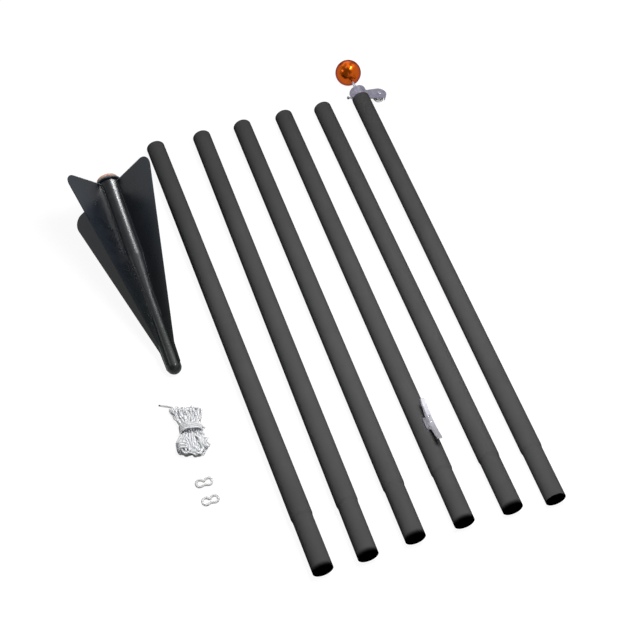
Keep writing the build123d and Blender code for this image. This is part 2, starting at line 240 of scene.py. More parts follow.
# %% [markdown]
# ## Truck and cleat: tumbled zinc and rubbed aluminium
#
# The truck's collar, arm and keeper are zinc die castings that were tumbled and left
# bare. Zinc goes a dull lavender grey, with a fine frosted grain, a little lighter where
# handling has rubbed it. The cleat is cast aluminium, a whiter metal, and the rope rubs
# it bright and smooth. One function makes both, from their colours and roughness.

# %% Cast metal
GRAIN = 1.2 * MM          # the real grain is 0.3 mm, too fine to show
STAIN = 14.0 * MM


def cast_metal(name, light, dark, rough_low, rough_high, *pieces):
    """A bare casting: lighter and smoother where its stains are rubbed off."""
    material, tree = start_material(name)
    spot = add(tree, "TexCoord").outputs["Object"]
    grain = add(tree, "TexNoise", Vector=spot, Scale=1 / GRAIN, Detail=3.0)
    stain = add(tree, "TexNoise", Vector=spot, Scale=1 / STAIN, Detail=4.0, Roughness=0.6)
    share = add(tree, "MapRange", i0=stain.outputs[0], i1=0.35, i2=0.65)
    colour = add(tree, "Mix", COLOURS, i0=share.outputs[0], i6=linear(dark), i7=linear(light))
    rough = add(tree, "MapRange",
                i0=stain.outputs[0], i1=0.3, i2=0.7, i3=rough_high, i4=rough_low)
    bump = add(tree, "Bump", Strength=0.3, Distance=0.2 * MM, Height=grain.outputs[0])
    shader = add(tree, "BsdfPrincipled", Base_Color=colour.outputs[2], Metallic=1.0,
                 Roughness=rough.outputs[0], Normal=bump.outputs[0])
    finish_material(tree, shader)
    dress(material, *pieces)


cast_metal("tumbled_zinc", "#bbb8c8", "#9490a8", 0.3, 0.44,
           "truck_collar", "truck_arm", "rope_keeper")
cast_metal("rubbed_cast_aluminium", "#f0eef5", "#d2d0dc", 0.22, 0.36, "cleat")

# %% [markdown]
# ## Dark parts under the arm
#
# The block at the arm's root and the disc under the sheave are steel with a black oxide
# finish: it is made by boiling the part in salts, and oil keeps it. They are coloured a
# very dark grey with a violet cast, which is partly the oxide and partly painted shade
# for the shade under the arm, with a soft metal gloss, clouded by spots of oil some
# 6 mm wide. Several plainer finishes below are made the same way: one noise at a real
# size clouds the colour from dark to light and the surface from smooth to rough.

# %% Plain clouded finishes, and the black oxide with painted shade


def clouded(name, cloud, detail, dark, light, smooth, rough, *pieces, **settings):
    """A finish whose colour and roughness follow clouds of one size."""
    material, tree = start_material(name)
    spot = add(tree, "TexCoord").outputs["Object"]
    noise = add(tree, "TexNoise", Vector=spot, Scale=1 / cloud, Detail=detail)
    colour = add(tree, "Mix", COLOURS, i0=noise.outputs[0], i6=linear(dark), i7=linear(light))
    gloss = add(tree, "MapRange", i0=noise.outputs[0], i1=0.3, i2=0.7, i3=smooth, i4=rough)
    shader = add(tree, "BsdfPrincipled", Base_Color=colour.outputs[2],
                 Roughness=gloss.outputs[0], **settings)
    finish_material(tree, shader)
    dress(material, *pieces)


# very dark grey: black oxide, and painted shade for the shade under the arm
clouded("black_oxide_and_painted_shade", 6.0 * MM, 3.0, "#1a1920", "#34323e", 0.32, 0.5,
        "sheave_retainer", "rope_guard", Metallic=0.7)

# %% [markdown]
# ## Sheave: moulded nylon
#
# The rope runs in a wheel of moulded nylon. Nylon is a milky white that lets a little
# light in, so its shadows are soft, with a satin skin. It is mottled a little, as the
# melt cooled unevenly in the mould.

# %% Nylon
MOTTLE = 8.0 * MM
material, tree = start_material("milky_nylon")
spot = add(tree, "TexCoord").outputs["Object"]
mottle = add(tree, "TexNoise", Vector=spot, Scale=1 / MOTTLE, Detail=2.0)
colour = add(tree, "Mix", COLOURS,
             i0=mottle.outputs[0], i6=linear("#e6e2da"), i7=linear("#f2efe8"))
shader = add(tree, "BsdfPrincipled", Base_Color=colour.outputs[2], Roughness=0.42, IOR=1.53,
             Subsurface_Weight=0.15, Subsurface_Scale=3.0 * MM)
finish_material(tree, shader)
dress(material, "sheave")

# %% [markdown]
# ## Spindle and axle: zinc-plated steel
#
# The ball's spindle and the sheave's axle are turned from steel and plated with bright
# zinc: a cool, slightly blue metal with fine rings from the lathe. The rings are 0.1 mm
# apart on the part, too fine to show, and are drawn at 0.8 mm.

# %% Zinc plate
LATHE_RING = 0.8 * MM
BLOT = 5.0 * MM
material, tree = start_material("bright_zinc_plate")
near, far = ends_of("finial_spindle")
along, outwards, sampler = round_frame(tree, near, (far - near).normalized())
rings = add(tree, "CombineXYZ", i2=along)
lathe = add(tree, "TexNoise", Vector=rings.outputs[0], Scale=1 / LATHE_RING, Detail=1.0)
blot = add(tree, "TexNoise", Vector=sampler.outputs["Object"], Scale=1 / BLOT, Detail=2.0)
colour = add(tree, "Mix", COLOURS,
             i0=blot.outputs[0], i6=linear("#c6cedb"), i7=linear("#eceff6"))
rough = add(tree, "MapRange", i0=blot.outputs[0], i1=0.3, i2=0.7, i3=0.16, i4=0.28)
bump = add(tree, "Bump", Strength=0.25, Distance=0.1 * MM, Height=lathe.outputs[0])
shader = add(tree, "BsdfPrincipled", Base_Color=colour.outputs[2], Metallic=1.0,
             Roughness=rough.outputs[0], Normal=bump.outputs[0])
finish_material(tree, shader)
dress(material, "finial_spindle", "sheave_axle")

# %% [markdown]
# ## Set screw: phosphated steel
#
# The screw in the collar's side is hardened steel with a grey phosphate skin, made by
# dipping it in hot phosphoric acid. The crystals scatter the light, so it is duller and
# darker than the plated parts and stands out from the white floor.

# %% Phosphate
CRYSTALS = 2.0 * MM       # the real crystals are 0.05 mm, too fine to show
clouded("grey_phosphated_steel", CRYSTALS, 2.0, "#7c7d84", "#9fa0a8", 0.45, 0.55,
        "set_screw", Metallic=1.0)

# %% [markdown]
# ## Ball: orange anodised aluminium
#
# The ball is spun from aluminium sheet, polished, and dyed orange in an anodising bath.
# Dye under a hard clear layer acts like coloured metal: what it mirrors turns deep
# orange, and only the brightest light comes back yellow, a little whitened by the clear
# seal on top. Bare metal goes white towards its rim, but light that grazes the dye runs
# a long way through it, so the rim is tinted a dark red brown. Spinning leaves rings
# round the axis, 0.5 mm apart, that are drawn at 2.5 mm and barely seen.

# %% Anodised ball
SPUN_RING = 2.5 * MM
BATH_CLOUD = 30.0 * MM
material, tree = start_material("orange_anodised_aluminium")
ball_low, ball_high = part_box("finial_ball")
ball_middle = (ball_low + ball_high) / 2
pole_near, pole_far = pole_ends[5]
pole_along = (pole_far - pole_near).normalized()
along, outwards, sampler = round_frame(tree, ball_middle, pole_along)
rings = add(tree, "CombineXYZ", i2=along)
spun = add(tree, "TexNoise", Vector=rings.outputs[0], Scale=1 / SPUN_RING, Detail=1.0)
bath = add(tree, "TexNoise", Vector=sampler.outputs["Object"], Scale=1 / BATH_CLOUD, Detail=2.0)
colour = add(tree, "Mix", COLOURS,
             i0=bath.outputs[0], i6=linear("#e25c00"), i7=linear("#f07000"))
rough = add(tree, "MapRange", i0=bath.outputs[0], i1=0.3, i2=0.7, i3=0.18, i4=0.24)
bump = add(tree, "Bump", Strength=0.04, Distance=0.2 * MM, Height=spun.outputs[0])
shader = add(tree, "BsdfPrincipled", Base_Color=colour.outputs[2], Metallic=1.0,
             Roughness=rough.outputs[0], Specular_Tint=linear("#3a1a00"),
             Coat_Weight=0.3, Coat_Roughness=0.1, Normal=bump.outputs[0])
finish_material(tree, shader)
dress(material, "finial_ball")

# %% [markdown]
# ## Ground spike: blue-black enamel on sheet steel
#
# The sleeve and the four fins are sheet steel, welded, then dipped in enamel. It is a
# blue-black with a firm gloss. Its colour turns greyer green towards the point and slate
# blue on the fins' wide corners, which is painted reflection of the room. Along the top
# edges of the fins and on the ring the enamel is painted pale, as ragged scuffs through it
# and as painted highlight on those edges.
#
# The finish needs the spike's own axis. It runs from the middle of the ring to the nose,
# which is the part of the sleeve that lies furthest from the ring.

# %% Where the spike lies
ring_low, ring_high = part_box("spike_ring")
spike_mouth = (ring_low + ring_high) / 2
sleeve_spots = [v.co for v in nodes["spike_sleeve"].data.vertices]
spike_reach = max((spot - spike_mouth).length for spot in sleeve_spots)
nose_spots = [spot for spot in sleeve_spots
              if (spot - spike_mouth).length > spike_reach - 0.1 * MM]
spike_nose = sum(nose_spots, Vector()) / len(nose_spots)
spike_along = (spike_mouth - spike_nose).normalized()
spike_length = (spike_mouth - spike_nose).length
print("spike", round(spike_length, 3), "m long")

# %% Enamel
RUNS = 45.0 * MM
ENAMEL_PEEL = 5.0 * MM    # the real peel is 2 mm, too fine to show
RAGGED = 2.5 * MM
CORNER_FROM = 45.0 * MM   # from the axis
CORNER_TO = 140.0 * MM
PALE_EDGE_FROM = 2.5 * MM      # below the top
PALE_EDGE_TO = 1.0 * MM


def enamel(name, scuff_and_highlight, top, *pieces):
    """Dipped enamel, painted pale as scuffs and as painted highlight on what faces up the spike and
    just below its top.
    """
    material, tree = start_material(name)
    along, outwards, sampler = round_frame(tree, spike_nose, spike_along)
    spot = sampler.outputs["Object"]
    run = add(tree, "TexNoise", Vector=spot, Scale=1 / RUNS, Detail=3.0, Distortion=0.4)
    peel = add(tree, "TexNoise", Vector=spot, Scale=1 / ENAMEL_PEEL, Detail=2.0)
    flakes = add(tree, "TexNoise", Vector=spot, Scale=1 / RAGGED, Detail=3.0)
    # painted reflection: the enamel goes greyer green towards the point
    height = add(tree, "MapRange", i0=along, i1=0.0, i2=0.55 * spike_length)
    shade = add(tree, "Math", {"operation": "ADD"}, i0=height.outputs[0], i1=run.outputs[0])
    share = add(tree, "MapRange", i0=shade.outputs[0], i1=0.3, i2=1.5)
    height_tone = add(tree, "Mix", COLOURS,
              i0=share.outputs[0], i6=linear("#161c19"), i7=linear("#0e1218"))
    out = add(tree, "VectorMath", {"operation": "LENGTH"}, i0=outwards)
    # painted reflection: slate blue towards the fins' wide corners
    corner = add(tree, "MapRange",
                 i0=out.outputs["Value"], i1=CORNER_FROM, i2=CORNER_TO, i3=0.0, i4=0.9)
    body = add(tree, "Mix", COLOURS,
               i0=corner.outputs[0], i6=height_tone.outputs[2], i7=linear("#222a34"))
    facing = add(tree, "VectorMath", {"operation": "DOT_PRODUCT"},
                 i0=sampler.outputs["Normal"], i1=spike_along)
    # scuffs and painted highlight: the pale ragged edges
    edge = add(tree, "MapRange", i0=facing.outputs["Value"], i1=0.35, i2=0.75, i3=0.0, i4=scuff_and_highlight)
    line = add(tree, "MapRange", i0=along, i1=top - PALE_EDGE_FROM, i2=top - PALE_EDGE_TO, i3=0.0, i4=scuff_and_highlight)
    bare_and_highlit = add(tree, "Math", {"operation": "MAXIMUM"}, i0=edge.outputs[0], i1=line.outputs[0])
    ragged = add(tree, "MapRange", i0=flakes.outputs[0], i1=0.3, i2=0.55)
    worn_and_highlit = add(tree, "Math", {"operation": "MULTIPLY"}, i0=bare_and_highlit.outputs[0], i1=ragged.outputs[0])
    colour = add(tree, "Mix", COLOURS,
                 i0=worn_and_highlit.outputs[0], i6=body.outputs[2], i7=linear("#a4a9ae"))
    rough = add(tree, "MapRange", i0=run.outputs[0], i1=0.3, i2=0.7, i3=0.24, i4=0.34)
    bump = add(tree, "Bump", Strength=0.1, Distance=0.3 * MM, Height=peel.outputs[0])
    shader = add(tree, "BsdfPrincipled", Base_Color=colour.outputs[2],
                 Roughness=rough.outputs[0], IOR=1.52, Normal=bump.outputs[0])
    finish_material(tree, shader)
    dress(material, *pieces)
    return material


fin_spots = [v.co for v in nodes["spike_fin_1"].data.vertices]
fin_top = max((spot - spike_nose).dot(spike_along) for spot in fin_spots)
print("the fins' top edges are", round(fin_top, 4), "m from the point")
enamel("blue_black_enamel", 0.9, fin_top,
       "spike_fin_1", "spike_fin_2", "spike_fin_3", "spike_fin_4")
sleeve_enamel = enamel("sleeve_enamel", 0.9, spike_length, "spike_sleeve")
enamel("scuffed_and_highlit_enamel", 0.6, spike_length + 1.0 * MM, "spike_ring")

# %% [markdown]
# ## Small pieces made here
#
# The weld beads, the cleat's screw heads and the rope are meshes made from points. All
# three are rows of rings with a skin between them. One function lists the skin's faces,
# and another makes the object: its four-sided faces are smooth, and its flat ends aren't.

# %% Mesh helpers


def skin_faces(first, rings, sides):
    """The four-sided faces between neighbouring rings, whose points start at the first."""
    rows = [[first + k * sides + s for s in range(sides)] for k in range(rings)]
    return [(low[s], low[(s + 1) % sides], high[(s + 1) % sides], high[s])
            for low, high in zip(rows, rows[1:]) for s in range(sides)]


def mesh_piece(name, points, faces):
    """A new object of these points and faces."""
    mesh = bpy.data.meshes.new(name)
    mesh.from_pydata(points, [], faces)
    for face in mesh.polygons:
        face.use_smooth = len(face.vertices) == 4
    piece = bpy.data.objects.new(name, mesh)
    bpy.context.scene.collection.objects.link(piece)
    return piece


# %% [markdown]
# ## Weld beads
#
# Each fin is welded to the sleeve along both of its faces. A bead of weld is a row of
# small overlapping puddles, so it is drawn as a thin tube along the corner, whose radius
# swells and shrinks every 3 mm. It follows the sleeve, which tapers towards the point:
# the sleeve's radius at each distance from the point is read off the solid.

# %% The sleeve's radius, and the directions across the spike
offsets = [spot - spike_nose for spot in sleeve_spots]
reaches = [offset.dot(spike_along) for offset in offsets]
radii = [(offset - spike_along * reach).length for offset, reach in zip(offsets, reaches)]
levels = np.unique(np.round(reaches, 3))
outline = [max(r for r, reach in zip(radii, reaches) if abs(reach - level) < 1.0 * MM)
           for level in levels]
spike_up = Vector((0, 0, 1))
spike_up = (spike_up - spike_along * spike_up.dot(spike_along)).normalized()
spike_side = spike_along.cross(spike_up)
print("the sleeve's radius goes from", round(outline[0], 4), "to", round(max(outline), 4), "m")

# %% Weld beads
BEAD = 1.7 * MM           # radius
PUDDLE = 3.0 * MM
SWELL = 0.14
BEAD_OUT = 0.2 * MM       # the bead's middle lies this far off the sleeve
BEAD_ASIDE = 1.4 * MM     # and this far to the side of the fin's middle
BEAD_START = 0.16         # m from the point
BEAD_RINGS = 300
BEAD_SIDES = 8

bead_points, bead_faces = [], []
for fin in range(4):
    turn = math.pi * (0.25 + 0.5 * fin)
    out = spike_up * math.cos(turn) + spike_side * math.sin(turn)
    across = spike_along.cross(out)
    for face in (-1, 1):
        first = len(bead_points)
        for k in range(BEAD_RINGS):
            reach = BEAD_START + (fin_top - 1.0 * MM - BEAD_START) * k / (BEAD_RINGS - 1)
            radius = np.interp(reach, levels, outline)
            middle = (spike_nose + spike_along * reach + out * (radius + BEAD_OUT)
                      + across * face * BEAD_ASIDE)
            swell = 1 + SWELL * math.cos(2 * math.pi * reach / PUDDLE)
            taper = min(1.0, 0.2 + 0.1 * min(k, BEAD_RINGS - 1 - k))
            for s in range(BEAD_SIDES):
                angle = 2 * math.pi * s / BEAD_SIDES
                way = out * math.cos(angle) + across * math.sin(angle)
                bead_points.append(middle + way * BEAD * swell * taper)
        skin = skin_faces(first, BEAD_RINGS, BEAD_SIDES)
        bead_faces += [(a, d, c, b) for a, b, c, d in skin]
        bead_faces.append(tuple(range(first, first + BEAD_SIDES)))
        bead_faces.append(tuple(range(len(bead_points) - BEAD_SIDES, len(bead_points)))[::-1])
welds = mesh_piece("spike_welds", bead_points, bead_faces)
welds.data.materials.append(sleeve_enamel)
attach(welds, "kit")
print("weld beads", 8, "with", len(bead_faces), "faces")

# %% [markdown]
# ## Cleat screws
#
# Two pan-head screws hold the cleat. A head is a low dome on a grid of rings, and the
# cross recess is pressed into it: every point near one of the cross's two arms sinks.
# The last ring goes straight down from the rim and ends inside the cleat.

# %% Where the cleat's back lies
BACK_REACH = 20 * MM      # the back's middle part, to either side of the cleat's middle
cleat_spots = np.array([v.co for v in nodes["cleat"].data.vertices])
cleat_along = (pole_ends[3][1] - pole_ends[3][0]).normalized()
cleat_middle = Vector((cleat_spots.max(0) + cleat_spots.min(0)) / 2)
on_tube = pole_ends[3][0] + cleat_along * (cleat_middle - pole_ends[3][0]).dot(cleat_along)
cleat_out = (cleat_middle - on_tube).normalized()
cleat_across = cleat_along.cross(cleat_out)
reach_along = (cleat_spots - np.array(cleat_middle)) @ np.array(cleat_along)
reach_out = (cleat_spots - np.array(on_tube)) @ np.array(cleat_out)
cleat_top = reach_out[np.abs(reach_along) < BACK_REACH].max()
print("the cleat's back is", round(cleat_top / MM, 1), "mm from the tube's axis")

# %% Cleat screws, in millimetres
SCREW_PLACES = (-8.0, 8.0)   # along the cleat from its middle
HEAD = 3.4                # radius
RIM = 0.6                 # height of the head's edge
DOME = 1.5
SKIRT = -0.4              # where the last ring ends
SUNK = 0.5
CROSS_ARM = 0.55          # half width of the recess
CROSS_REACH = 2.1
CROSS_DEPTH = 0.9
DOME_RINGS = 14
HEAD_SIDES = 48

screw_points, screw_faces = [], []
for place in SCREW_PLACES:
    first = len(screw_points)
    centre = on_tube + cleat_along * place * MM + cleat_out * (cleat_top - SUNK * MM)
    for k in range(DOME_RINGS + 1):
        r = HEAD * min(k, DOME_RINGS - 1) / (DOME_RINGS - 1)
        for s in range(HEAD_SIDES):
            angle = 2 * math.pi * (s + 0.5) / HEAD_SIDES
            x, y = r * math.cos(angle), r * math.sin(angle)
            height = RIM + DOME * math.sqrt(max(0, 1 - (r / HEAD) ** 2.6))
            arm = max(0.0, 1 - (min(abs(x), abs(y)) / CROSS_ARM) ** 2) * (r < CROSS_REACH)
            height = SKIRT if k == DOME_RINGS else height - CROSS_DEPTH * arm
            offset = cleat_along * x + cleat_across * y + cleat_out * height
            screw_points.append(centre + offset * MM)
    skin = skin_faces(first, DOME_RINGS + 1, HEAD_SIDES)
    screw_faces += [(a, d, c, b) for a, b, c, d in skin]
screws = mesh_piece("cleat_screws", screw_points, screw_faces)
screws.data.materials.append(bpy.data.materials["bright_zinc_plate"])
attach(screws, "kit")
print("screw heads", len(SCREW_PLACES), "with", len(screw_faces), "faces")

# %% [markdown]
# ## Liner: moulded salmon plastic
#
# The sleeve's mouth holds a liner of moulded polypropylene, a warm salmon that is matt
# from the mould's texture. Light goes a little way in, so the bore glows warm instead of
# going black.

# %% Liner
LINER_FLOW = 18.0 * MM    # flow marks of the melt
clouded("salmon_polypropylene", LINER_FLOW, 3.0, "#dca08c", "#eeb8a4", 0.45, 0.6,
        "spike_liner", IOR=1.49, Subsurface_Weight=0.2, Subsurface_Scale=4.0 * MM)

# %% [markdown]
# ## Clips: moulded white acetal
#
# The two clips are acetal, a hard white plastic that feels waxy. It is bright, with a
# soft gloss and faint flow marks. Light goes in and comes out again some millimetres
# away, all colours alike, so the thin rods have no hard shaded side.

# %% Clips
CLIP_FLOW = 9.0 * MM
EVEN = (1.0, 1.0, 1.0)    # red, green and blue go equally deep
clouded("white_acetal", CLIP_FLOW, 2.0, "#d6d8d6", "#e2e4e2", 0.3, 0.42,
        "clip_1", "clip_2", IOR=1.48, Subsurface_Weight=0.5,
        Subsurface_Scale=4.0 * MM, Subsurface_Radius=EVEN)

# %% [markdown]
# ## The rope's route
#
# The halyard is a white braided cord of 5 mm, wound into a hank: twenty long loops lie
# side by side, four turns bind them round the middle, and both ends fan out. One end
# comes out at the far left, and three small turns hitch the near left corner. Drawing
# each loop by hand would take a thousand points, and a plain spiral would look like
# wire. So each loop is laid out roughly, from fan to waist to fan, and then all of them
# are pushed apart until no two strands share a place, as real cord does when it is
# squeezed. Everything is in millimetres in the hank's own frame, with y along it, and is
# carried to its place on the floor at the end.

# %% The hank's outline, in millimetres
ROPE = 5.0                # diameter
LOOPS = 20
STEP = 6.0                # spacing of the route's points
WRAPS = 3.55              # the fourth turn ends in the knob at the side
WAIST_LOW = -9.0          # the binding covers the waist from here to WAIST_HIGH
WAIST_HIGH = 11.0
WAIST_HALF_WIDTH = 28.0
WAIST_HALF_HEIGHT = 20.0
WRAP_SLANT = 5.0          # the turns lie this much nearer on the right
FOLD = 7.0                # half width of a loop's end
TIGHTEST = 8.0            # the smallest radius that the cord takes

STATIONS = [-72.0, -58.0, -34.0, -9.0, 11.0, 40.0, 78.0]
HALF_WIDTHS = [31.0, 42.0, 43.0, 28.0, 28.0, 38.0, 44.0]
HEIGHTS = [16.0, 25.0, 34.0, 40.0, 40.0, 34.0, 20.0]
MIDDLES = [-5.0, -4.0, -2.0, -2.0, -2.5, -3.5, -6.0]
TAIL_POINTS = [(-36.0, 80.4, 8.0), (-48.0, 88.5, 3.6), (-66.0, 96.0, 2.6)]

HANK_PLACE = Vector((-0.35137, -0.33698, 0.0))
HANK_TURN = math.radians(-5.0)
to_row = (Matrix.Translation(HANK_PLACE) @ Matrix.Rotation(HANK_TURN, 4, "Z")
          @ Matrix.Scale(MM, 4))


def hull(y):
    """Half width, height and middle of the hank's outline at a station along it."""
    return [np.interp(y, STATIONS, values) for values in (HALF_WIDTHS, HEIGHTS, MIDDLES)]


# %% [markdown]
# Every loop crosses the waist twice. The places there are packed like pencils in a ring.
# A strand runs from its place out to a fan, and a fold joins two strands at a fan's end.
# Inside the binding a strand keeps clear of it; out in the fan it may come to the skin.

# %% Where the strands cross the waist, a strand and a fold
UNDER_BINDING = 1.45 * ROPE   # from the outline to the strand's middle
UNDER_SKIN = 0.6 * ROPE
STRAND_POINTS = 24


def waist_places(count):
    """Places in the bound waist, as shares of its half width and height, middle ones first."""
    half_x = WAIST_HALF_WIDTH - UNDER_BINDING
    half_z = WAIST_HALF_HEIGHT - UNDER_BINDING
    for pitch in np.arange(1.3 * ROPE, 0.6 * ROPE, -0.05):
        found = []
        for row in range(-12, 13):
            for column in range(-12, 13):
                u = (column + 0.5 * (row % 2)) * pitch / half_x
                v = row * pitch * math.sin(math.pi / 3) / half_z
                if u * u + v * v <= 1:
                    found.append((u, v))
        if len(found) >= count:
            return sorted(found, key=lambda p: p[0] ** 2 + p[1] ** 2)[:count]
    return found


def strand(place, u_end, y_end, v_end):
    """A strand from the middle of the waist out to the end of a fan."""
    y = np.linspace((WAIST_LOW + WAIST_HIGH) / 2, y_end, STRAND_POINTS)
    t = np.linspace(0, 1, STRAND_POINTS)
    t = t * t * (3 - 2 * t)
    half_width, height, middle = hull(y)
    inset = UNDER_BINDING * (1 - t) + UNDER_SKIN * t
    x = middle + (place[0] * (1 - t) + u_end * t) * (half_width - inset)
    z = height / 2 + (place[1] * (1 - t) + v_end * t) * (height / 2 - inset)
    return np.stack([x, y, z], 1)


def fold(a, b, outwards):
    """Half a turn from point a to point b."""
    centre, arm = (a + b) / 2, (a - b) / 2
    bulge = np.array([0, outwards * min(max(np.linalg.norm(arm), ROPE), 2 * FOLD), 0])
    turn = np.linspace(0, math.pi, 7)[1:-1]
    return np.stack([centre + arm * math.cos(q) + bulge * math.sin(q) for q in turn])


# %% [markdown]
# The loops don't lie in order. Each gets two neighbouring places at the waist and a rank
# in either fan, with a little chance in both, and they are wound out to the right and
# back again. Three of them are short and make the knobs at the near right.

# %% Lay the loops out roughly
rng = np.random.default_rng(5)
places = sorted(waist_places(2 * LOOPS + 1), key=lambda p: p[0] + rng.normal(0, 0.06))
pairs = [(places[2 * i + 1], places[2 * i + 2]) for i in range(LOOPS)]
rank_top = np.argsort(np.argsort([a[0] + b[0] + rng.normal(0, 0.2) for a, b in pairs]))
rank_low = np.argsort(np.argsort([a[0] + b[0] + rng.normal(0, 0.35) for a, b in pairs]))
from_left = sorted(range(LOOPS), key=lambda i: pairs[i][0][0] + rng.normal(0, 0.3))
order = from_left[0::2] + from_left[1::2][::-1]
SHORT_LOOPS = {LOOPS - 1: -36.0, LOOPS - 2: -56.0, LOOPS - 3: -54.0}

tail_strand = [
    strand(places[0], -0.68, 74.0, -0.1)[::-1],
    strand(places[0], -0.9, -50.0, -0.2)[1:],
]
runs = [(np.concatenate(tail_strand), 0.0)]
for turn, i in enumerate(order):
    a, b = sorted(pairs[i], key=lambda p: p[1], reverse=bool(turn % 2))
    side = 1 if a[1] > b[1] else -1
    u_top = -0.97 + 1.94 * rank_top[i] / (LOOPS - 1)
    u_low = -0.97 + 1.94 * rank_low[i] / (LOOPS - 1)
    top = 72.0 - 9.0 * u_top - rng.uniform(0, 8.0)
    low = -69.0 + 12.0 * u_low ** 2 + rng.uniform(0, 10.0)
    low = SHORT_LOOPS.get(int(rank_low[i]), low)
    v_top, v_low = rng.uniform(-0.35, 0.35, 2)
    open_top = side * FOLD / (hull(top)[1] / 2 - 3.0)
    open_low = side * FOLD / (hull(low)[1] / 2 - 3.0)
    up = [
        strand(a, u_low, low + FOLD, np.clip(v_low + open_low, -1, 1))[::-1],
        strand(a, u_top, top - FOLD, np.clip(v_top + open_top, -1, 1))[1:],
    ]
    down = [
        strand(b, u_top, top - FOLD, np.clip(v_top - open_top, -1, 1))[::-1],
        strand(b, u_low, low + FOLD, np.clip(v_low - open_low, -1, 1))[1:],
    ]
    runs += [(np.concatenate(up), low), (np.concatenate(down), top)]

rough, marks = [runs[0][0]], []
for k in range(1, len(runs)):
    bend = fold(rough[-1][-1], runs[k][0][0], -1 if k % 2 else 1)
    tip = np.array([bend[2][0], runs[k][1], bend[2][2]])
    marks.append((sum(len(part) for part in rough) + 2, tip))
    rough += [bend, runs[k][0]]
rough = np.concatenate(rough)
along = np.concatenate([[0], np.cumsum(np.linalg.norm(np.diff(rough, axis=0), axis=1))])
spots = np.linspace(0, along[-1], int(round(along[-1] / STEP)) + 1)
loops = np.stack([np.interp(spots, along, rough[:, k]) for k in range(3)], 1)
tips = np.array([int(round(along[spot] / along[-1] * (len(loops) - 1))) for spot, _ in marks])
tip_places = np.array([tip for _, tip in marks])
print("loops", LOOPS, "points", len(loops))

# %% [markdown]
# The hitch and the binding are coils round the finished loops. They keep their shape
# while the loops are pushed about, as they are what holds the hank together.

# %% The hitch round the near left corner, and the binding turns round the waist
HITCH_TURNS = 3
HITCH_MIDDLE = (-29.5, 15.8)      # across and up
HITCH_HALF = (12.0, 13.0)
HITCH_FROM = -51.0
HITCH_TO = -29.0


def coil(turns, middle, half, start, end, slant):
    """A coil's points round an oval tunnel along the hank, from the left over the top."""
    turn = np.arange(0, turns * 2 * math.pi, STEP / ((half[0] + half[1]) / 2))
    y = start + (end - start) * turn / turn[-1] + slant * np.cos(turn)
    return np.stack([middle[0] - half[0] * np.cos(turn), y, middle[1] + half[1] * np.sin(turn)], 1)


def bridge(a, b):
    """Points between two ends, without the ends."""
    return np.linspace(a, b, int(np.linalg.norm(b - a) / STEP) + 1)[1:-1]


hitch = coil(HITCH_TURNS, HITCH_MIDDLE, HITCH_HALF, HITCH_FROM, HITCH_TO, 1.5)
wraps = coil(
    WRAPS,
    (hull(0)[2], WAIST_HALF_HEIGHT),
    (WAIST_HALF_WIDTH - ROPE / 2, WAIST_HALF_HEIGHT - ROPE / 2),
    WAIST_LOW + ROPE / 2,
    WAIST_HIGH - ROPE / 2,
    WRAP_SLANT / 2,
)
knob = wraps[-1] + np.array([[3.0, -3.0, -2.5], [7.0, -7.0, -5.0]])
route = [loops, bridge(loops[-1], hitch[0]), hitch, bridge(hitch[-1], wraps[0]), wraps, knob]
firm = [np.full(len(part), k in (2, 4, 5)) for k, part in enumerate(route)]
route, held = np.concatenate(route), np.concatenate(firm)
held[:2] = True                   # the loops start where the tail comes in

# %% [markdown]
# To settle the rope, small corrections are made over and over. Points that come too
# close are pushed apart, points two and four steps apart are kept from folding up, which
# is the cord's stiffness, and neighbours are brought back to one step, which keeps its
# length. After some hundred rounds nearly everything holds at once.

# %% Push the strands apart
ROUNDS = 320


def push(points, loose, i, j, wanted, strength, only_short=True):
    """Moves the pairs (i, j) towards the wanted distance; loose is 0 for a held point."""
    apart = points[j] - points[i]
    far = np.maximum(np.linalg.norm(apart, axis=1), 1e-6)
    off = np.minimum(far - wanted, 0) if only_short else far - wanted
    hit = off != 0
    i, j, apart, far, off = i[hit], j[hit], apart[hit], far[hit], off[hit]
    shift = (strength * off / far / np.maximum(loose[i] + loose[j], 1e-6))[:, None] * apart
    move, count = np.zeros_like(points), np.zeros(len(points))
    np.add.at(move, i, shift * loose[i][:, None])
    np.add.at(move, j, -shift * loose[j][:, None])
    np.add.at(count, i, 1)
    np.add.at(count, j, 1)
    points += move / np.sqrt(np.maximum(count, 1))[:, None]


def keep_inside(points, loose):
    """Brings loose points back into the hank's outline, and under the binding at the waist."""
    half_width, height, middle = hull(points[:, 1])
    bound = (points[:, 1] > WAIST_LOW - 3) & (points[:, 1] < WAIST_HIGH + 3)
    inset = np.where(bound, 1.4 * ROPE, ROPE / 2)
    x, z = points[:, 0] - middle, points[:, 2] - height / 2
    out = np.hypot(x / (half_width - inset), z / (height / 2 - inset))
    scale = np.where((out > 1) & (loose > 0), 1 / np.maximum(out, 1e-6), 1)
    points[:, 0] = middle + x * scale
    points[:, 2] = np.where(loose > 0, np.maximum(height / 2 + z * scale, ROPE / 2), points[:, 2])


